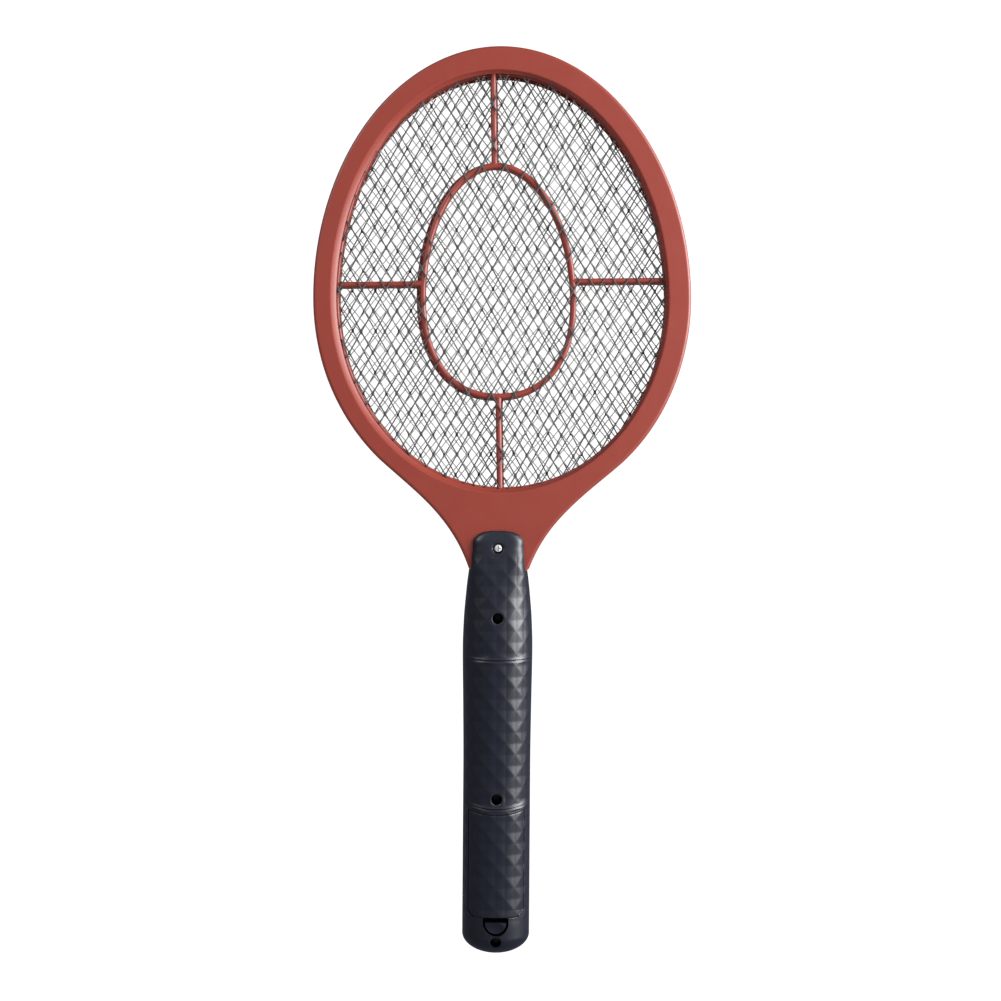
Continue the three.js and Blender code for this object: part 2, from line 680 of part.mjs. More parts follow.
piece("multiplier_capacitor_1", discCapacitor(5.6, 136), CERAMIC);
piece("multiplier_capacitor_2", discCapacitor(5.6, 144.5), CERAMIC);
piece("bleed_resistor", axial(-5, 150.5, 1.1, 5), RESISTOR);
piece("indicator_led", indicatorLed(), LENS);
piece("battery_1", cell(-CELL_OFFSET, true), CELL);
piece("battery_2", cell(CELL_OFFSET, false), CELL);
piece("positive_contact", positiveContact(), STEEL);
piece("negative_contact", negativeContact(), STEEL);
piece("bridge_contact", bridgeContact(), STEEL);
piece("battery_lead_positive", lead("battery_lead_positive"), RED_WIRE);
piece("battery_lead_negative", lead("battery_lead_negative"), BLACK_WIRE);
piece("rear_net_lead", lead("rear_net_lead"), BLACK_WIRE);
piece("middle_net_lead", lead("middle_net_lead"), RED_WIRE);
piece("front_net_lead", lead("front_net_lead"), BLACK_WIRE);

export default group;
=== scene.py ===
"""Looks of the electric fly swatter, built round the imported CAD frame. Sizes are in millimetres, heights count from the
handle's butt end, and at() turns them into metres in the part's own frame."""

import json
import math

import bmesh
import bpy
import numpy as np
from mathutils import Matrix, Vector
from mathutils.geometry import tessellate_polygon


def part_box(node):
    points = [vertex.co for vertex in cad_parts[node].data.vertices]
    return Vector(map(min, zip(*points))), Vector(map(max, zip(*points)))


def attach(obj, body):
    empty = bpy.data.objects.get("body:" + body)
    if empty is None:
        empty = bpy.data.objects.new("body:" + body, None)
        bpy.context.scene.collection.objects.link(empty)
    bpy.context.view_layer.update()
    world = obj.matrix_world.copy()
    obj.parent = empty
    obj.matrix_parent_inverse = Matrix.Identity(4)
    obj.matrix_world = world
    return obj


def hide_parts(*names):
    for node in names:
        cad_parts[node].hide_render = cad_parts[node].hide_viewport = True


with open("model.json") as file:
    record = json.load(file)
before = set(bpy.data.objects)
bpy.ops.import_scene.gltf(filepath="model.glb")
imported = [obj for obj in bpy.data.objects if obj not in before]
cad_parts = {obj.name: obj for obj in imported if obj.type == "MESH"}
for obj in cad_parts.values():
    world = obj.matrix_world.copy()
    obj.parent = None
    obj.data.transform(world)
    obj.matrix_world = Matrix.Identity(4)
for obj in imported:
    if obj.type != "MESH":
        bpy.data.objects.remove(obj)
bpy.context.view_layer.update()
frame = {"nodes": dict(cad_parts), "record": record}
for imported in list(bpy.data.materials):
    bpy.data.materials.remove(imported)
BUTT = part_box("handle_rear_shell")[0].z * 1000

# Head. An egg is given as (half width, reach above its centre, reach below it), and the shifts are sideways.
HEAD_CENTRE = 331
HEAD_OUTLINE = (95.2, 126.8, 107.2)
CROWN_POWER = 1.01
HEAD_DEPTH = 9
FLAT_EDGE = (85.0, 114.6, 98.0)
LIP_EDGE = (83.2, 113.3, 96.2)
OPENING = (82.7, 114.6, 95.2)
FLAT_SHIFT, LIP_SHIFT, SEAT_SHIFT = -1.1, -0.45, 0.3
RIM_ROUND = 1.6
SEAT_TOP = 6.0
# The lean of the head: (height, sideways shift).
SWAY = (
    (195, 0.4), (212, 0.7), (229, 1.25), (244, 1.55), (262, 1.45), (290, 1.15),
    (330, 1.1), (380, 0.75), (410, 0.4), (425, 0.2), (458, 0.1),
)
# Ribs. The twist is in degrees about a point of the head's axis.
RIB_CENTRE = 330.7
RIB_OUTLINE = (38.1, 67.6, 49)
RIB_POWER = 2.25
RIB_WIDTH = 2.9
RIB_BACK, RIB_TOP = 0.7, 5.2
RIB_TWIST, RIB_TWIST_CENTRE, RIB_SHIFT = 1.33, 334, -1.3
SPOKE_HEIGHT = 339.3
SPOKE_WIDTH = 2.5
# Neck: (height, half width), and the half width of the tongue that the handle hides.
NECK = ((249, 61.4), (239.3, 50), (227.2, 36.5), (215.2, 26.2), (205, 19.6), (195, 15.3))
TONGUE_HALF = 11.5
TONGUE_FOOT = 180
# Handle: (height, half width, half depth, power of the section's superellipse).
HANDLE = (
    (10, 17, 15.5, 2.3), (95, 17, 15.5, 2.3), (125, 17.3, 16, 2.3), (155, 17.7, 16.4, 2.3),
    (170, 17.2, 15.9, 2.3), (180, 16.4, 15, 2.5), (188, 15.6, 14.2, 3), (197, 14.4, 13.4, 4.2),
    (205, 13.6, 12.6, 4.4), (208.6, 13.4, 12.1, 5), (211, 12.3, 11.5, 4.6), (212.9, 9.6, 10.9, 4), (213.8, 4, 10.3, 4),
)
HANDLE_TOP = 213.8
BUTT_ROUND = 10
BUTT_POWER = 1.9
WALL = 2.2
PARTING = 0.12
# Door and thumb tab. The door's top edge dips by DOOR_DIP times the square of the distance from the middle.
DOOR_LOW, DOOR_TOP, DOOR_DIP, DOOR_HALF, DOOR_CORNER = 20.8, 71.7, 0.01, 13.8, 3
LATCH_LOW, LATCH_TOP, LATCH_HALF, LATCH_MARGIN = 12.4, 18, 5.3, 1.1
BULKHEADS = ((17.6, 19.3), (76.5, 78.2))
RING = 149.0
# Screws: (height, depth of the head's top, where the shank ends).
SCREWS = ((205, 12.2, 3), (170, 9.5, 5.5), (79.6, 9.5, 5.5), (8.2, 9, 5.5))
COUNTERBORE = 2.7
BUTTON_Z, BUTTON_TOP, LED_Z, LED_TOP = 140, 17.6, 118, 17
BUTTON_HALF, BUTTON_TALL = 5, 10
# Grip pits: half spacing round and along the handle, depth, and width as a share of the spacing.
PIT_ROUND, PIT_TALL, PIT_DEPTH, PIT_SIZE = 5.0, 5.55, 0.32, 0.94
PIT_STARTS = (191.45, 129.75)
# Nets: how far the outer two lie from the middle one, the size of their cells, and how far the grids reach.
NET_DEPTH = 5.55
NET_CELL = (11.85, 20.9)
NET_REACH = (95, 125)


def at(points):
    """Millimetres above the butt end, to metres in the part's frame."""
    return (np.asarray(points, float) + (0, 0, BUTT)) / 1000


# ---- Materials ----

MOTTLE_SCALE, GLOSS_SCALE = 45, 110
GLOSS_SPREAD = 0.05


def material(name, colour, roughness, metallic=0.0, grain_scale=600.0, mottle=0.06, coat=0.0, bump=0.0):
    """A principled material with slow colour mottling, uneven roughness and an optional fine grain."""
    m = bpy.data.materials.new(name)
    m.use_nodes = True
    tree = m.node_tree
    shader = tree.nodes["Principled BSDF"]
    shader.inputs["Metallic"].default_value = metallic
    shader.inputs["Coat Weight"].default_value = coat
    shader.inputs["Coat Roughness"].default_value = 0.2
    place = tree.nodes.new("ShaderNodeTexCoord")

    def noise(scale, detail):
        n = tree.nodes.new("ShaderNodeTexNoise")
        n.inputs["Scale"].default_value = scale
        n.inputs["Detail"].default_value = detail
        tree.links.new(place.outputs["Object"], n.inputs["Vector"])
        return n.outputs["Fac"]

    ramp = tree.nodes.new("ShaderNodeValToRGB")
    for stop, factor in zip(ramp.color_ramp.elements, (1 - mottle, 1 + mottle)):
        stop.color = (*[min(1, c * factor) for c in colour], 1)
    ramp.color_ramp.elements[0].position = 0.3
    ramp.color_ramp.elements[1].position = 0.7
    tree.links.new(noise(MOTTLE_SCALE, 3), ramp.inputs["Fac"])
    tree.links.new(ramp.outputs["Color"], shader.inputs["Base Color"])
    spread = tree.nodes.new("ShaderNodeMapRange")
    spread.inputs["To Min"].default_value = max(0.02, roughness - GLOSS_SPREAD)
    spread.inputs["To Max"].default_value = min(1, roughness + GLOSS_SPREAD)
    tree.links.new(noise(GLOSS_SCALE, 2), spread.inputs["Value"])
    tree.links.new(spread.outputs["Result"], shader.inputs["Roughness"])
    if bump:
        relief = tree.nodes.new("ShaderNodeBump")
        relief.inputs["Strength"].default_value = bump
        relief.inputs["Distance"].default_value = 0.0002
        tree.links.new(noise(grain_scale, 2), relief.inputs["Height"])
        tree.links.new(relief.outputs["Normal"], shader.inputs["Normal"])
    return m


RED = material("red_plastic", (0.16, 0.021, 0.0125), 0.45, bump=0.06, grain_scale=1800, mottle=0.03)
DARK = material("dark_plastic", (0.003, 0.004, 0.0095), 0.42, bump=0.05, grain_scale=1500, mottle=0.08)
BUTTON = material("button_plastic", (0.42, 0.06, 0.045), 0.35, mottle=0.04)
WIRE = material("outer_net_steel", (0.03, 0.031, 0.033), 0.7, mottle=0.25)
FINE_WIRE = material("middle_net_steel", (0.22, 0.22, 0.218), 0.65, mottle=0.2)
SCREW = material("screw_steel", (0.5, 0.5, 0.51), 0.5, metallic=0.35, mottle=0.08)
LENS = material("led_lens", (0.5, 0.015, 0.01), 0.1, mottle=0.04, coat=0.6)
# A near-black copy of the screw steel: painted shade for the screws set deep in their counterbores.
SHADED_SCREW = material("screw_blackened", (0.03, 0.03, 0.032), 0.6, mottle=0.1)
BACKDROP = material("backdrop_paper", (0.06, 0.06, 0.06), 0.95, mottle=0.005)
paper = BACKDROP.node_tree.nodes["Principled BSDF"].inputs
paper["Emission Color"].default_value = (1, 1, 1, 1)
paper["Emission Strength"].default_value = 0.98

# These dress the CAD nodes that stay shown, which find them by slot name.
material("contact_steel", (0.62, 0.62, 0.63), 0.22, metallic=1, mottle=0.05)
material("board_laminate", (0.02, 0.13, 0.055), 0.4, mottle=0.12, bump=0.1)
material("ferrite", (0.035, 0.035, 0.037), 0.75, mottle=0.15, bump=0.3)
material("winding_tape", (0.52, 0.37, 0.05), 0.35, mottle=0.1)
material("capacitor_film", (0.24, 0.035, 0.015), 0.3, mottle=0.1)
material("disc_ceramic", (0.04, 0.12, 0.33), 0.45, mottle=0.1)
material("black_resin", (0.011, 0.011, 0.012), 0.5, mottle=0.15)
material("resistor_body", (0.5, 0.34, 0.2), 0.5, mottle=0.1)
material("cell_sleeve", (0.03, 0.12, 0.06), 0.28, metallic=0.3, mottle=0.05, coat=0.4)
material("red_insulation", (0.4, 0.02, 0.012), 0.4, mottle=0.06)
material("black_insulation", (0.012, 0.012, 0.013), 0.4, mottle=0.1)

SLOTS = {e["node"]: e["material_slot"] for e in frame["record"]["subparts"]}
BY_SLOT = {m.name: m for m in bpy.data.materials}
for node, thing in frame["nodes"].items():
    thing.data.materials.clear()
    thing.data.materials.append(BY_SLOT[SLOTS[node]])


# ---- Meshes ----

def make(name, points, faces, look, body="handle", nodes=(), sharp=35):
    """A mesh piece from points in millimetres above the butt, riding on a body and standing for CAD nodes."""
    mesh = bpy.data.meshes.new(name)
    mesh.from_pydata(at(points).tolist(), [], [tuple(f) for f in faces])
    mesh.validate()
    mesh.materials.append(look)
    mesh.shade_smooth()
    mesh.set_sharp_from_angle(angle=math.radians(sharp))
    thing = bpy.data.objects.new(name, mesh)
    bpy.context.scene.collection.objects.link(thing)
    if body:
        settle(thing, body, nodes)
    return thing


def settle(thing, body, nodes):
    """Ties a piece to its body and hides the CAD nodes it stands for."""
    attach(thing, body)
    if nodes:
        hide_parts(*nodes)


def skin(rings, loop=False, start=0, flip=False):
    """Quads between rings of equal length. With loop, the last ring joins the first."""
    count = len(rings[0])
    faces = []
    pairs = len(rings) if loop else len(rings) - 1
    for r in range(pairs):
        a, b = start + r * count, start + ((r + 1) % len(rings)) * count
        for i in range(count):
            j = (i + 1) % count
            quad = (a + i, a + j, b + j, b + i)
            faces.append(quad[::-1] if flip else quad)
    return np.concatenate(rings), faces


def cap(start, count, flip=False):
    """One face over a ring of points."""
    ring = tuple(range(start, start + count))
    return ring[::-1] if flip else ring


def cut(thing, cutter, operation="DIFFERENCE"):
    """Applies a boolean with a closed cutter, which is then removed."""
    step = thing.modifiers.new("cut", "BOOLEAN")
    step.operation, step.object, step.solver = operation, cutter, "EXACT"
    graph = bpy.context.evaluated_depsgraph_get()
    mesh = bpy.data.meshes.new_from_object(thing.evaluated_get(graph))
    thing.modifiers.clear()
    old, thing.data = thing.data, mesh
    bpy.data.meshes.remove(old)
    bpy.data.objects.remove(cutter)


def grow(egg, amount):
    """An egg widened by an amount all round."""
    return tuple(e + amount for e in egg)


def egg_curve(egg, centre=HEAD_CENTRE, count=240, power=2.0):
    """Points (x, z) of an egg: an ellipse above its centre and a rounder curve of the given power below."""
    a = np.linspace(0, 2 * math.pi, count, endpoint=False)
    c, s = np.cos(a), np.sin(a)
    p = np.where(s > 0, 2.0, power)
    x = egg[0] * np.sign(c) * np.abs(c) ** (2 / p)
    z = centre + np.where(s > 0, egg[1], egg[2]) * np.sign(s) * np.abs(s) ** (2 / p)
    return np.stack([x, z], 1)


def normals(curve):
    """Unit normals of a closed anticlockwise (x, z) curve, pointing outwards."""
    along = np.roll(curve, -1, 0) - np.roll(curve, 1, 0)
    out = np.stack([along[:, 1], -along[:, 0]], 1)
    return out / np.linalg.norm(out, axis=1, keepdims=True)


def ring_at(curve, y):
    """An (x, z) curve as points at a depth y."""
    return np.stack([curve[:, 0], np.full(len(curve), float(y)), curve[:, 1]], 1)


def smooth_table(table, column, z):
    """Monotone cubic through the stations of a table, so that the surface has no kinks."""
    xs = np.array([row[0] for row in table], float)
    ys = np.array([row[column] for row in table], float)
    h, d = np.diff(xs), np.diff(ys) / np.diff(xs)
    m = np.concatenate([[0], np.where(d[:-1] * d[1:] > 0, 2 * d[:-1] * d[1:] / (d[:-1] + d[1:] + 1e-12), 0), [d[-1]]])
    z = np.clip(z, xs[0], xs[-1])
    i = np.clip(np.searchsorted(xs, z) - 1, 0, len(h) - 1)
    t = (z - xs[i]) / h[i]
    return (
        (2 * t**3 - 3 * t**2 + 1) * ys[i] + (t**3 - 2 * t**2 + t) * h[i] * m[i]
        + (3 * t**2 - 2 * t**3) * ys[i + 1] + (t**3 - t**2) * h[i] * m[i + 1]
    )


def swayed(points):
    """The head leans a little to one side of the handle's axis, as assembled."""
    points = np.array(points, float)
    heights, shifts = zip(*SWAY)
    points[:, 0] += np.interp(points[:, 2], heights, shifts)
    return points


def twisted(points):
    """The ribs are turned a little in the plane of the head."""
    points = np.array(points, float)
    turn = math.radians(RIB_TWIST)
    x, z = points[:, 0].copy(), points[:, 2] - RIB_TWIST_CENTRE
    points[:, 0] = RIB_SHIFT + x * math.cos(turn) - z * math.sin(turn)
    points[:, 2] = RIB_TWIST_CENTRE + x * math.sin(turn) + z * math.cos(turn)
    return points


# ---- Red rim ----

def head_curve():
    """The rim and neck outline, anticlockwise, ending in the tongue that the handle hides."""
    start = math.asin((NECK[0][0] - HEAD_CENTRE) / HEAD_OUTLINE[2])
    a = np.linspace(start, math.pi - start, 300)
    c, s = np.cos(a), np.sin(a)
    round_x = np.where(s > 0, np.sign(c) * np.abs(c) ** CROWN_POWER, c)
    round_z = np.where(s > 0, np.abs(s) ** CROWN_POWER * HEAD_OUTLINE[1], s * HEAD_OUTLINE[2])
    rim = np.stack([HEAD_OUTLINE[0] * round_x, HEAD_CENTRE + round_z], 1)
    heights = np.linspace(NECK[0][0], NECK[-1][0], 40)[1:]
    half = smooth_neck(heights)
    half = np.concatenate([half, [TONGUE_HALF, TONGUE_HALF]])
    heights = np.concatenate([heights, [NECK[-1][0] - 4, TONGUE_FOOT]])
    left = np.stack([-half, heights], 1)
    right = np.stack([half, heights], 1)[::-1]
    return np.concatenate([rim, left, right])


def smooth_neck(z):
    """The neck's half width: a curve through its stations that leaves the rim's ellipse without a kink."""
    zs = np.array([258.0, 254.0, 249.0] + [n[0] for n in NECK[1:]])
    ellipse = [HEAD_OUTLINE[0] * math.sqrt(1 - ((v - HEAD_CENTRE) / HEAD_OUTLINE[2]) ** 2) for v in zs[:3]]
    halves = np.array(ellipse + [n[1] for n in NECK[1:]])
    fit = np.polynomial.Polynomial.fit(zs, halves, 5, w=[1, 2, 4] + [1] * (len(NECK) - 1))
    return fit(z)


def frame_piece(name, side):
    """Half of the rim and neck: a rounded outer wall, a flat face and a lip that steps down to the net's seat."""
    curve, lip = head_curve(), egg_curve(FLAT_EDGE) + (FLAT_SHIFT, 0)
    out, lip_out = normals(curve), normals(lip)
    r = RIM_ROUND
    outer = [ring_at(curve - out * 2.6, 0.1), ring_at(curve - out * 0.3, 0.1), ring_at(curve, 0.4)]
    outer.append(ring_at(curve, HEAD_DEPTH - r))
    for step in range(1, 7):
        t = step * math.pi / 12
        outer.append(ring_at(curve - out * r * (1 - math.cos(t)), HEAD_DEPTH - r + r * math.sin(t)))
    outer.append(ring_at(curve - out * (r + 0.4), HEAD_DEPTH))
    low = egg_curve(LIP_EDGE) + (LIP_SHIFT, 0)
    low_out = normals(low)
    inner = [
        ring_at(lip + lip_out * 0.9, HEAD_DEPTH), ring_at(lip + lip_out * 0.45, HEAD_DEPTH),
        ring_at(lip + lip_out * 0.12, HEAD_DEPTH - 0.12), ring_at(lip, HEAD_DEPTH - 0.45),
        ring_at(low + low_out * 0.35, SEAT_TOP + 0.7), ring_at(low + low_out * 0.05, SEAT_TOP + 0.4),
        ring_at(low + low_out * 0.1, SEAT_TOP + 0.05), ring_at(low + low_out * 6, SEAT_TOP),
    ]
    n, m = len(curve), len(lip)
    points_a, faces_a = skin(outer)
    points_b, faces_b = skin(inner, start=len(points_a))
    faces = [f[::-1] for f in faces_a] + [f[::-1] for f in faces_b]
    flat_a = [Vector((p[0], p[2], 0)) for p in outer[-1]]
    flat_b = [Vector((p[0], p[2], 0)) for p in inner[0]][::-1]
    base_a, base_b = len(points_a) - n, len(points_a)
    index = [base_a + i for i in range(n)] + [base_b + m - 1 - i for i in range(m)]
    for tri in tessellate_polygon([flat_a, flat_b]):
        faces.append(tuple(index[i] for i in tri))
    points = np.concatenate([points_a, points_b]) * (1, side, 1)
    orient(make(name, swayed(points), faces, RED, nodes=(name.replace("_look", ""),), sharp=50))


def orient(thing):
    """Turns every face of a shell to the outside."""
    b = bmesh.new()
    b.from_mesh(thing.data)
    bmesh.ops.recalc_face_normals(b, faces=b.faces)
    b.to_mesh(thing.data)
    b.free()


def bar(start, end, width, y, flare=1.0):
    """A round-topped rib from start to end in (x, z), widening where it meets its ring. y is (back, top)."""
    start, end = np.array(start, float), np.array(end, float)
    length = np.linalg.norm(end - start)
    along = (end - start) / length
    across = np.array([-along[1], along[0]])
    middle = np.linspace(5, length - 5, 6)[1:-1]
    rings = []
    for d in np.concatenate([np.linspace(0, 5, 9), middle, np.linspace(length - 5, length, 9)]):
        near = min(d, length - d)
        half = width / 2 + flare * math.exp(-near / 1.1)
        profile = rib_profile(half, y)
        centre = start + along * d
        rings.append(np.array([[*(centre + across * u), v] for u, v in profile])[:, [0, 2, 1]])
    points, faces = skin(rings)
    count = len(rings[0])
    return points, faces + [cap(0, count), cap(len(points) - count, count, True)]


def rib_profile(half, y):
    """Half-round top, slightly drafted sides: (across, depth) from the back left round to the back right."""
    back, top = y
    sign = 1 if top > back else -1
    crown = half * 0.75
    arc = [(-half * math.cos(t), top - sign * crown * (1 - math.sin(t))) for t in np.linspace(0, math.pi, 11)]
    return [(-half * 1.06, back), *arc, (half * 1.06, back)]


def spacer_piece(name, side):
    """The seating ring of a net with the ribs inside it. The far ribs lie a little off the near ones."""
    y = (RIB_BACK * side, RIB_TOP * side)
    seat = egg_curve(OPENING) + (SEAT_SHIFT, 0)
    out = normals(seat)
    section = [(8.5, 0.7), (8.5, 5.15), (0.9, 5.15), (0.45, 5.05), (0.12, 4.75), (0, 4.3), (0, 0.7)]
    rings = [ring_at(seat + out * d, v * side) for d, v in section]
    points, faces = skin(rings, loop=True)
    points = swayed(points)
    far = 1 if side > 0 else 0
    egg = (RIB_OUTLINE[0] + 0.9 * far, RIB_OUTLINE[1] + 0.3 * far, RIB_OUTLINE[2] + 0.9 * far)
    ring = egg_curve(egg, RIB_CENTRE + 0.5 * far, 200, RIB_POWER) + (0.3 - 0.9 * far, 0)
    ring_out = normals(ring)
    rib = [ring_at(ring + ring_out * u, v) for u, v in rib_profile(RIB_WIDTH / 2, y)]
    parts = [skin(rib, loop=True)]
    w, half, lean = SPOKE_WIDTH, OPENING[0] + 3, 0.6 * far - 0.4
    parts.append(bar((egg[0] - 0.9 * far, SPOKE_HEIGHT), (half, SPOKE_HEIGHT - 0.3), w, y))
    parts.append(bar((-half, SPOKE_HEIGHT + 0.3), (-egg[0] - 0.9 * far, SPOKE_HEIGHT), w, y))
    parts.append(bar((lean, RIB_CENTRE + egg[1]), (lean, HEAD_CENTRE + OPENING[1] + 3), RIB_WIDTH, y))
    parts.append(bar((lean, HEAD_CENTRE - OPENING[2] - 3), (lean, RIB_CENTRE - egg[2]), RIB_WIDTH, y))
    ribs, rib_faces = joined(parts)
    points, faces = joined([(points, faces), (twisted(ribs), rib_faces)])
    orient(make(name, points, faces, RED, nodes=(name.replace("_look", ""),), sharp=50))


def joined(parts):
    """Several (points, faces) as one."""
    points, faces, start = [], [], 0
    for p, f in parts:
        points.append(p)
        faces += [tuple(i + start for i in face) for face in f]
        start += len(p)
    return np.concatenate(points), faces


# ---- Nets ----

def inside(p, egg):
    """Whether an (x, z) point lies inside an egg about the head's centre."""
    x, z = p[0], p[1] - HEAD_CENTRE
    return (x / egg[0]) ** 2 + (z / (egg[1] if z > 0 else egg[2])) ** 2 < 1


def wander(p, seed, amount):
    """A slow sideways drift, so that the net isn't a perfect grid."""
    x, z = p
    return np.array([
        x + amount * (math.sin(z / 31 + seed) + 0.6 * math.sin(x / 17 + 2.1 * seed)),
        z + amount * (math.sin(x / 27 + 1.7 * seed) + 0.6 * math.sin(z / 19 + 0.9 * seed)),
    ])


def strand(a, b, y, width, depth):
    """A flat-sided strand of the net from a to b."""
    along = (b - a) / np.linalg.norm(b - a)
    across = np.array([-along[1], along[0]])
    rings = []
    for end in (a, b):
        profile = ((-1, -0.5), (-0.5, -1), (0.5, -1), (1, -0.5), (1, 0.5), (0.5, 1), (-0.5, 1), (-1, 0.5))
        ring = [[*(end + across * u * width / 2), y + v * depth / 2] for u, v in profile]
        rings.append(np.array(ring)[:, [0, 2, 1]])
    points, faces = skin(rings)
    return points, faces + [cap(0, 8), cap(8, 8, True)]


def knot(c, y, half_width, half_height, depth):
    """The thicker place where two strands meet, drawn out along the net's long way."""
    rings = []
    for t in (-1, -0.55, 0.55, 1):
        r = 0.12 if abs(t) == 1 else 1
        ring = []
        for k in range(6):
            a = k * math.pi / 3
            ring.append((c[0] + half_width * r * math.cos(a), y + depth / 2 * r * math.sin(a), c[1] + half_height * t))
        rings.append(np.array(ring))
    points, faces = skin(rings)
    return points, faces + [cap(0, 6), cap(18, 6, True)]


def net_piece(name, y, cell, origin, width, depth, knot_size, look, seed, drift=0.5):
    """A diamond net: knots at every second crossing of a grid, and strands between neighbours."""
    edge = grow(LIP_EDGE, -0.3)
    w, h = cell[0] / 2, cell[1] / 2
    parts = []
    reach_x, reach_z = int(NET_REACH[0] / w) + 2, int(NET_REACH[1] / h) + 2
    for i in range(-reach_x, reach_x + 1):
        for j in range(-reach_z, reach_z + 1):
            if (i + j) % 2:
                continue
            raw = np.array([origin[0] + i * w, origin[1] + j * h])
            a = wander(raw, seed, drift)
            if inside(a, edge):
                parts.append(knot(a, y, knot_size[0], knot_size[1], depth * 1.15))
            for step in (-1, 1):
                b = wander(raw + (step * w, h), seed, drift)
                ends = trimmed(a, b, edge)
                if ends is not None:
                    parts.append(strand(*ends, y, width, depth))
    points, faces = joined(parts)
    make(name, swayed(points), faces, look, nodes=(name.replace("_look", ""),), sharp=30)


def trimmed(a, b, edge):
    """The length of a strand that lies inside the edge, or None."""
    in_a, in_b = inside(a, edge), inside(b, edge)
    if in_a and in_b:
        return a, b
    if not in_a and not in_b:
        return None
    keep, other = (a, b) if in_a else (b, a)
    low, high = 0.0, 1.0
    for _ in range(12):
        middle = (low + high) / 2
        if inside(keep + (other - keep) * middle, edge):
            low = middle
        else:
            high = middle
    if np.linalg.norm(other - keep) * low < 0.6:
        return None
    return keep, keep + (other - keep) * low


# ---- Handle ----

def handle_point(angle, z, inset=0.0):
    """Surface point of the handle at an angle round it and a height; the butt is rounded like an ellipse."""
    half = smooth_table(HANDLE, 1, z)
    depth = smooth_table(HANDLE, 2, z)
    power = smooth_table(HANDLE, 3, z)
    shrink = np.sqrt(np.clip(1 - np.clip((BUTT_ROUND - z) / BUTT_ROUND, 0, 1) ** BUTT_POWER, 0, 1))
    power = np.where(z < BUTT_ROUND, 2 + 0.3 * np.clip(z / BUTT_ROUND, 0, 1), power)
    a = np.maximum(half * shrink - inset, 0.01)
    b = np.maximum(depth * shrink - inset, 0.01)
    c, s = np.cos(angle), np.sin(angle)
    x = a * np.sign(c) * np.abs(c) ** (2 / power)
    y = b * np.sign(s) * np.abs(s) ** (2 / power)
    return np.stack([x, y, z], -1)


def door_gap(x, z):
    """Distance from the door's outline, negative inside it."""
    top = DOOR_TOP + DOOR_DIP * x * x
    d = np.maximum(np.maximum(np.abs(x) - DOOR_HALF, z - top), DOOR_LOW - z)
    chamfer = ((np.abs(x) - DOOR_HALF) + (DOOR_LOW - z) + DOOR_CORNER) / math.sqrt(2)
    return np.maximum(d, chamfer)


def pits(arc, z):
    """Shallow four-sided pits in a diamond pattern; the rows start afresh below the ring."""
    first = np.where(z > RING, *PIT_STARTS)
    u, v = (arc + 0.5) / PIT_ROUND, (z - first) / PIT_TALL
    iu, iv = np.round((u + v) / 2), np.round((u - v) / 2)
    size = np.abs(u - iu - iv) + np.abs(v - iu + iv)
    return PIT_DEPTH * np.clip(1 - size / PIT_SIZE, 0, 1)


def relief(x, y, z, arc, rear):
    """How far the surface lies below the plain handle: grip pits, rings and rounded edges."""
    low = pits(arc, z) * np.clip((np.abs(y) - 2) / 5, 0, 1)
    low = low * np.clip((z - 16) / 8, 0, 1) * np.clip((204 - z) / 4, 0, 1)
    if not rear:
        return low
    for centre, dip in ((RING, 0.0025), (DOOR_TOP + 3, DOOR_DIP)):
        off = z - centre - dip * x * x
        low = low * np.clip((np.abs(off - 0.3) - 1.2) / 0.8, 0, 1)
        bead = np.interp(off, (-1.2, -0.3, 0, 0.35, 1.5), (0, 0.3, 0.4, -0.33, 0))
        low = low + bead * np.clip((np.abs(y) - 3) / 5, 0, 1)
    edge = np.abs(door_gap(x, z))
    low = low + 0.16 * np.clip(1 - edge / 0.6, 0, 1) ** 2
    for height, _, _ in SCREWS:
        r = np.hypot(x, z - height)
        low = low * np.clip((r - 3.2) / 1.2, 0, 1) + 0.35 * np.clip(1 - (r - COUNTERBORE) / 0.6, 0, 1) ** 2
    return low


def fine_steps(low, high, step, marks=(), reach=1.6, fine=0.22):
    """Positions from low to high, closer together round the marks."""
    found = [low]
    while found[-1] < high:
        near = min((abs(found[-1] - m) for m in marks), default=99)
        found.append(min(high, found[-1] + (fine if near < reach else step)))
    return np.array(found)


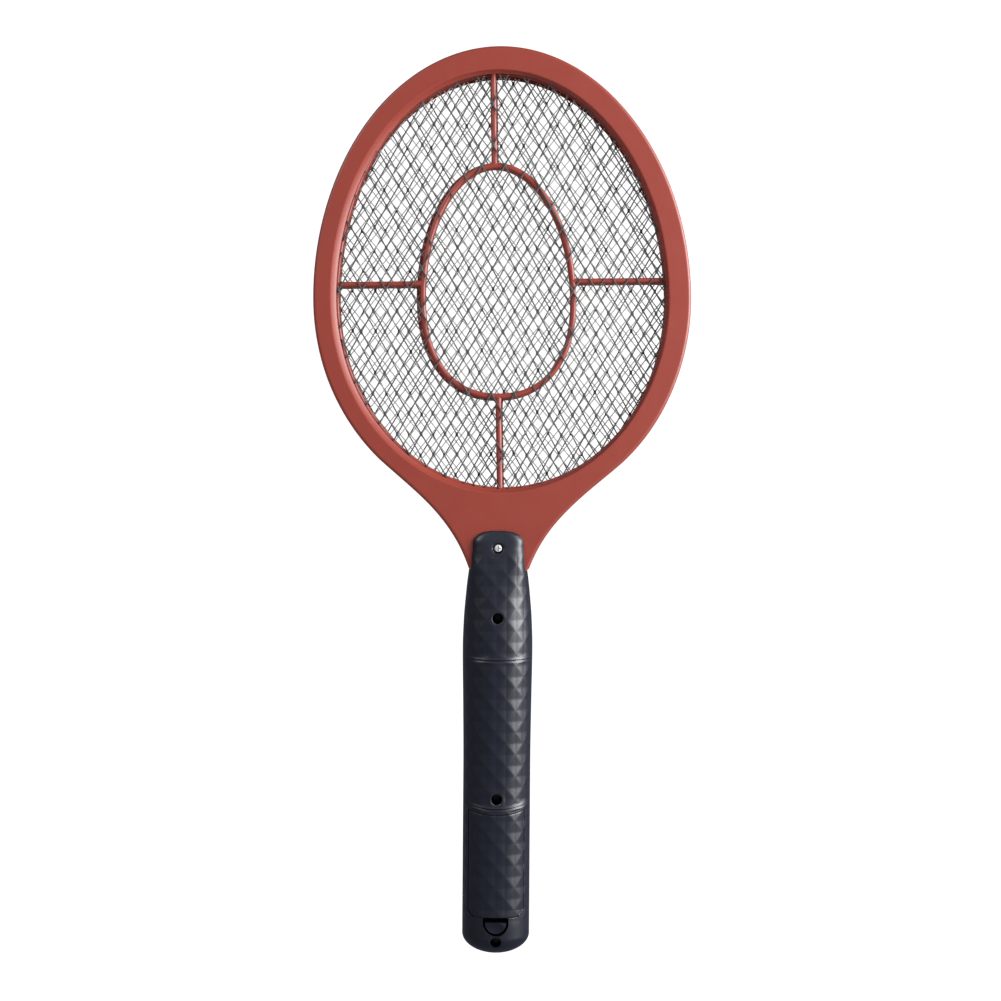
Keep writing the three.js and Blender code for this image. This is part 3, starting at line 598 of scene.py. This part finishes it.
def shell_body(rear):
    """Half of the handle as a closed body with walls. Rows are closer together round the edges and rings."""
    round_end = BUTT_ROUND * (1 - np.cos(np.linspace(0.02, math.pi / 2, 34)))
    marks = (DOOR_LOW, DOOR_LOW + DOOR_CORNER, DOOR_TOP, 73, 74.7, 76.2, RING + 0.2) if rear else ()
    straight = fine_steps(BUTT_ROUND, 208.0, 0.55, marks)
    heights = np.concatenate([round_end[:-1], straight, fine_steps(208.3, HANDLE_TOP - 0.02, 0.25)])
    start = math.pi if rear else 0.0
    cut_angle = math.asin(min(1, PARTING / 15))
    count = 170
    angles = np.linspace(start + cut_angle, start + math.pi - cut_angle, count)
    z = heights[:, None] + 0 * angles[None, :]
    a = 0 * heights[:, None] + angles[None, :]
    outer = handle_point(a, z)
    step = np.linalg.norm(np.diff(outer[:, :, :2], axis=1), axis=2)
    arc = np.concatenate([np.zeros((len(heights), 1)), np.cumsum(step, 1)], 1)
    middle = arc[:, count // 2][:, None] / 2 + arc[:, count // 2 - 1][:, None] / 2
    arc = arc - middle
    low = relief(outer[..., 0], outer[..., 1], z, arc, rear)
    side = np.clip(np.abs(outer[..., 1]) / 1.5, 0, 1)
    normal = surface_normal(outer)
    moved = outer - normal * (low * side)[..., None]
    inner = handle_point(a, np.clip(z, 2.4, None), WALL)
    inner[..., 1] = np.where(np.abs(inner[..., 1]) < PARTING, np.sign(math.sin(start + 1)) * PARTING, inner[..., 1])
    rows = len(heights)
    points = np.concatenate([moved.reshape(-1, 3), inner.reshape(-1, 3)])
    faces = []
    second = rows * count
    for r in range(rows - 1):
        for i in range(count - 1):
            p = r * count + i
            faces.append((p, p + 1, p + count + 1, p + count))
            faces.append((second + p, second + p + count, second + p + count + 1, second + p + 1))
        for i in (0, count - 1):
            p = r * count + i
            quad = (p, p + count, second + p + count, second + p)
            faces.append(quad if i == 0 else quad[::-1])
    for i in range(count - 1):
        faces.append((i, second + i, second + i + 1, i + 1))
        p = (rows - 1) * count + i
        faces.append((p, p + 1, second + p + 1, second + p))
    return points, faces


def surface_normal(grid):
    """Outward unit normals of a grid of surface points."""
    along = np.gradient(grid, axis=0)
    across = np.gradient(grid, axis=1)
    n = np.cross(across, along)
    n = n / np.maximum(np.linalg.norm(n, axis=2, keepdims=True), 1e-9)
    flip = np.sign((n[..., :2] * grid[..., :2]).sum(-1).mean())
    return n * flip


def prism_piece(curve, y0, y1):
    """A closed straight cutter from an anticlockwise (x, z) outline."""
    points, faces = skin([ring_at(curve, y0), ring_at(curve, y1)])
    n = len(curve)
    thing = make("cutter", points, faces + [cap(0, n), cap(n, n, True)], DARK, body=None)
    orient(thing)
    return thing


def circle(x, z, r, count=48):
    """An anticlockwise circle in (x, z)."""
    a = np.linspace(0, 2 * math.pi, count, endpoint=False)
    return np.stack([x + r * np.cos(a), z + r * np.sin(a)], 1)


def door_curve(margin):
    """The door's outline, widened by a margin."""
    x = np.linspace(DOOR_HALF + margin, -DOOR_HALF - margin, 40)
    top = np.stack([x, DOOR_TOP + DOOR_DIP * x * x + margin], 1)
    half, low, c = DOOR_HALF + margin, DOOR_LOW - margin, DOOR_CORNER
    left = [(-half, low + c), (-half + c * 0.45, low + c * 0.45), (-half + c, low)]
    right = [(half - c, low), (half - c * 0.45, low + c * 0.45), (half, low + c)]
    return np.concatenate([top, left, right])


def latch_curve(margin, top):
    """The D shape of the thumb tab, widened by a margin and drawn up to a height."""
    half, low, drop = LATCH_HALF + margin, LATCH_LOW - margin, LATCH_TOP - LATCH_LOW + margin
    a = np.linspace(math.pi, 2 * math.pi, 40)
    arc = np.stack([half * np.cos(a), low + drop + drop * np.sin(a)], 1)
    if top > low + drop:
        arc = np.concatenate([arc, [(half, top), (-half, top)]])
    return arc


def stadium(half, tall, z, count=24):
    """An upright slot shape in (x, z) with round ends."""
    a = np.linspace(0, math.pi, count)
    up = np.stack([half * np.cos(a), z + tall - half + half * np.sin(a)], 1)
    return np.concatenate([up, (up - (0, z)) * (-1, -1) + (0, z)])


def neck_room():
    """The cutter that leaves room for the neck in the handle."""
    curve = head_curve()
    curve = swayed(ring_at(curve + normals(curve) * 0.3, 0))[:, [0, 2]]
    return prism_piece(curve, -HEAD_DEPTH - 0.1, HEAD_DEPTH + 0.1)


def bulkhead(low, high):
    """A wall across the battery bay, open in the middle for the wiring."""
    angles = np.linspace(-0.42, math.pi + 0.42, 60)
    edge = handle_point(angles, np.full(60, 50.0), WALL - 0.3)[:, :2]
    edge = edge[(np.abs(edge[:, 0]) < 12.2) & (edge[:, 1] > 0)]
    outline = [(4.5, -5.5), (12.2, -5.5), (12.2, edge[0, 1]), *edge]
    outline += [(-12.2, edge[-1, 1]), (-12.2, -5.5), (-4.5, -5.5), (-4.5, PARTING), (4.5, PARTING)]
    outline = np.array(outline)
    rings = [np.column_stack([outline, np.full(len(outline), h)]) for h in (low, high)]
    points, faces = skin(rings)
    return points, faces + [cap(0, len(outline), True), cap(len(outline), len(outline))]


def parting_lip(side):
    """The lip inside the parting line, which closes the slit between the two shells."""
    heights = np.concatenate([np.linspace(0.15, BUTT_ROUND, 20), np.linspace(14, 190, 45)])
    x = handle_point(0 * heights, heights)[:, 0]
    section = ((0.7, -0.8), (0.7, 0.8), (1.6, 0.8), (1.6, -0.8))
    rings = [np.array([((half - d) * side, y, z) for d, y in section]) for half, z in zip(x, heights)]
    points, faces = skin(rings)
    return points, faces + [cap(0, 4, True), cap(len(points) - 4, 4)]


def turned(profile, height, count=40):
    """A body of revolution about the y axis at a height, from (radius, y) pairs."""
    a = np.linspace(0, 2 * math.pi, count, endpoint=False)
    rings = [np.stack([r * np.cos(a), np.full(count, float(y)), height + r * np.sin(a)], 1) for r, y in profile]
    points, faces = skin(rings)
    return points, faces + [cap(0, count, True), cap(len(points) - count, count)]


def screw_piece(index, height, head, end):
    """A cross-slot screw. Only the top one gets the bright steel; the three deep ones get a near-black copy that
    paints the shade of their counterbores.
    """
    profile = [(0.4, -head), (1.2, -head + 0.06), (1.65, -head + 0.25), (1.9, -head + 0.7), (1.95, -head + 1.5)]
    profile += [(1.25, -head + 1.5), (1.25, end - 1.5), (0.3, end)]
    points, faces = turned(profile, height)
    name = f"handle_screw_{index}"
    # The deep screws take the painted-shade copy of the steel.
    look = SCREW if index == 1 else SHADED_SCREW
    thing = make(name + "_look", points, faces, look, body=None)
    orient(thing)
    for wide, tall in ((1.35, 0.3), (0.3, 1.35)):
        corners = ((-wide, -tall), (wide, -tall), (wide, tall), (-wide, tall))
        cut(thing, prism_piece(np.array(corners) + (0, height), -head - 1, -head + 0.8))
    settle_cut(thing, "handle", (name,), look)


def latch_piece():
    """The thumb tab: a patch of the handle's own curve, set back and dished."""
    angles = np.linspace(-math.pi / 2 - 0.62, -math.pi / 2 + 0.62, 48)
    heights = np.linspace(10.5, 20, 34)
    a, z = np.meshgrid(angles, heights)
    outer, inner = handle_point(a, z, 0.9), handle_point(a, z, 3.2)
    dish = np.clip(1 - ((outer[..., 0] + 0.8) / 5.2) ** 2 - ((z - 14.2) / 4.2) ** 2, 0, 1)
    outer[..., 1] += 1.1 * dish
    count = len(angles)
    rings = [np.concatenate([outer[k], inner[k][::-1]]) for k in range(len(heights))]
    points, faces = skin(rings)
    faces += [cap(0, 2 * count), cap(len(points) - 2 * count, 2 * count, True)]
    thing = make("door_latch_look", points, faces, DARK, body=None)
    orient(thing)
    cut(thing, prism_piece(latch_curve(0, LATCH_TOP), -30, -7), "INTERSECT")
    settle_cut(thing, "latch", ("door_latch",))


def button_piece():
    """The push button: a flange inside the shell, a rounded and slightly dished top, and a stem to the switch."""
    edge, r = BUTTON_TOP - 1.1, 1.1
    steps = [(1.4, 11.2), (1.4, 12.3), (1.3, 12.4), (0, 12.4), (0, edge)]
    steps += [(-r * (1 - math.cos(t)), edge + r * math.sin(t)) for t in np.linspace(0.25, math.pi / 2, 6)]
    steps += [(-1.8, BUTTON_TOP), (-2.4, BUTTON_TOP - 0.15), (-3.6, BUTTON_TOP - 0.35)]
    rings = [ring_at(stadium(BUTTON_HALF + grown, BUTTON_TALL + grown, BUTTON_Z), y) for grown, y in steps]
    points, faces = skin(rings)
    count = len(rings[0])
    faces = faces + [cap(0, count, True), cap(len(points) - count, count)]
    stem, stem_faces = turned([(2.2, 10), (2.2, 11.4)], BUTTON_Z)
    points, faces = joined([(points, faces), (stem, stem_faces)])
    orient(make("push_button_look", points, faces, BUTTON, "button", ("push_button",)))


def led_piece():
    """The indicator light, a domed lens with a flange."""
    dome = [(1.5 * math.cos(t), LED_TOP - 1.5 + 1.5 * math.sin(t)) for t in np.linspace(0, math.pi / 2 - 0.05, 9)]
    points, faces = turned([(1.9, 11.2), (1.9, 12.0), (1.5, 12.2), *dome], LED_Z)
    orient(make("indicator_led_look", points, faces, LENS, "handle", ("indicator_led",)))


def handle_pieces():
    """The two shells, the door cut from the rear one, and the walls inside."""
    points, faces = shell_body(True)
    shell = make("handle_rear_shell_look", points, faces, DARK, body=None)
    orient(shell)
    door = shell.copy()
    door.data = shell.data.copy()
    door.name = "battery_door_look"
    bpy.context.scene.collection.objects.link(door)
    cut(shell, neck_room())
    cut(shell, prism_piece(door_curve(0.28), -30, -2))
    cut(shell, prism_piece(latch_curve(LATCH_MARGIN, DOOR_LOW + 0.3), -30, -7))
    for height, head, _ in SCREWS:
        cut(shell, prism_piece(circle(0, height, COUNTERBORE), -30, -head + 1.6))
    cut(door, prism_piece(door_curve(0), -30, -2.5), "INTERSECT")
    settle_cut(shell, "handle", ("handle_rear_shell",))
    settle_cut(door, "door", ("battery_door",))
    points, faces = shell_body(False)
    front = make("handle_front_shell_look", points, faces, DARK, body=None)
    orient(front)
    cut(front, neck_room())
    cut(front, prism_piece(stadium(BUTTON_HALF + 0.3, BUTTON_TALL + 0.3, BUTTON_Z), 5, 30))
    cut(front, prism_piece(circle(0, LED_Z, 1.8), 5, 30))
    settle_cut(front, "handle", ("handle_front_shell",))
    points, faces = joined([bulkhead(*span) for span in BULKHEADS])
    orient(make("bay_bulkheads_look", points, faces, DARK))
    points, faces = joined([parting_lip(side) for side in (-1, 1)])
    orient(make("parting_lip_look", points, faces, DARK))


def settle_cut(thing, body, nodes, look=DARK):
    """Gives a cut piece its material and shading again, then settles it."""
    thing.data.materials.clear()
    thing.data.materials.append(look)
    thing.data.shade_smooth()
    thing.data.set_sharp_from_angle(angle=math.radians(38))
    settle(thing, body, nodes)


# ---- Build ----

frame_piece("rear_frame_look", -1)
frame_piece("front_frame_look", 1)
spacer_piece("rear_spacer_look", -1)
spacer_piece("front_spacer_look", 1)
net_piece("rear_net_look", -NET_DEPTH, NET_CELL, (0.8, 335), 0.68, 0.5, (0.75, 1.25), WIRE, 1.3)
net_piece("front_net_look", NET_DEPTH, NET_CELL, (6.1, 336.5), 0.62, 0.5, (0.68, 1.15), WIRE, 4.1, 0.9)
net_piece("middle_net_look", 0, (5.2, 6.55), (0.5, 334), 0.54, 0.35, (0.45, 0.65), FINE_WIRE, 2.2, 0.3)
handle_pieces()
latch_piece()
button_piece()
led_piece()
for number, screw in enumerate(SCREWS, 1):
    screw_piece(number, *screw)

# ---- Camera, light and backdrop ----

CAMERA_DISTANCE, EYE, SIDE, ROLL = 800, 229, 0.97, 0.40
camera = bpy.data.objects.new("camera", bpy.data.cameras.new("camera"))
camera.data.sensor_width = 36
camera.data.lens = 56.6
camera.location = at((SIDE, -CAMERA_DISTANCE, EYE))
camera.rotation_mode = "QUATERNION"
facing = Vector((0, 1, 0)).to_track_quat("-Z", "Y")
camera.rotation_quaternion = Matrix.Rotation(math.radians(-ROLL), 3, "Y").to_quaternion() @ facing
bpy.context.scene.collection.objects.link(camera)
bpy.context.scene.camera = camera


def area_light(name, place, target, size, power):
    """A rectangular white light at a place in metres, facing a target."""
    light = bpy.data.lights.new(name, "AREA")
    light.shape, light.size, light.size_y = "RECTANGLE", *size
    light.energy = power
    thing = bpy.data.objects.new(name, light)
    thing.location = place
    thing.rotation_euler = (Vector(target) - Vector(place)).to_track_quat("-Z", "Y").to_euler()
    bpy.context.scene.collection.objects.link(thing)


def backdrop():
    """A floor that sweeps up into a wall, all one pale sheet."""
    floor, wall, radius, half = BUTT / 1000 - 0.35, 0.9, 0.5, 3.0
    profile = [(-3.0, floor), (wall - radius, floor)]
    for t in np.linspace(0.1, math.pi / 2, 16):
        profile.append((wall - radius + radius * math.sin(t), floor + radius * (1 - math.cos(t))))
    profile.append((wall, 3.0))
    points = [(x, y, z) for y, z in profile for x in (-half, half)]
    faces = [(2 * i, 2 * i + 1, 2 * i + 3, 2 * i + 2) for i in range(len(profile) - 1)]
    mesh = bpy.data.meshes.new("backdrop")
    mesh.from_pydata(points, [], faces)
    mesh.materials.append(BACKDROP)
    mesh.shade_smooth()
    thing = bpy.data.objects.new("backdrop", mesh)
    bpy.context.scene.collection.objects.link(thing)
    thing.visible_glossy = False


backdrop()
area_light("key", (1.03, -0.5, 0.45), (0, 0, 0.06), (0.8, 0.95), 52)
area_light("fill", (-1.2, -1.1, 1.3), (0, 0, 0.1), (0.5, 0.5), 18)
world = bpy.data.worlds.new("studio")
world.use_nodes = True
world.node_tree.nodes["Background"].inputs["Color"].default_value = (0.82, 0.9, 1, 1)
world.node_tree.nodes["Background"].inputs["Strength"].default_value = 0.17
bpy.context.scene.world = world
bpy.context.scene.view_settings.view_transform = "Standard"
bpy.context.scene.view_settings.look = "None"
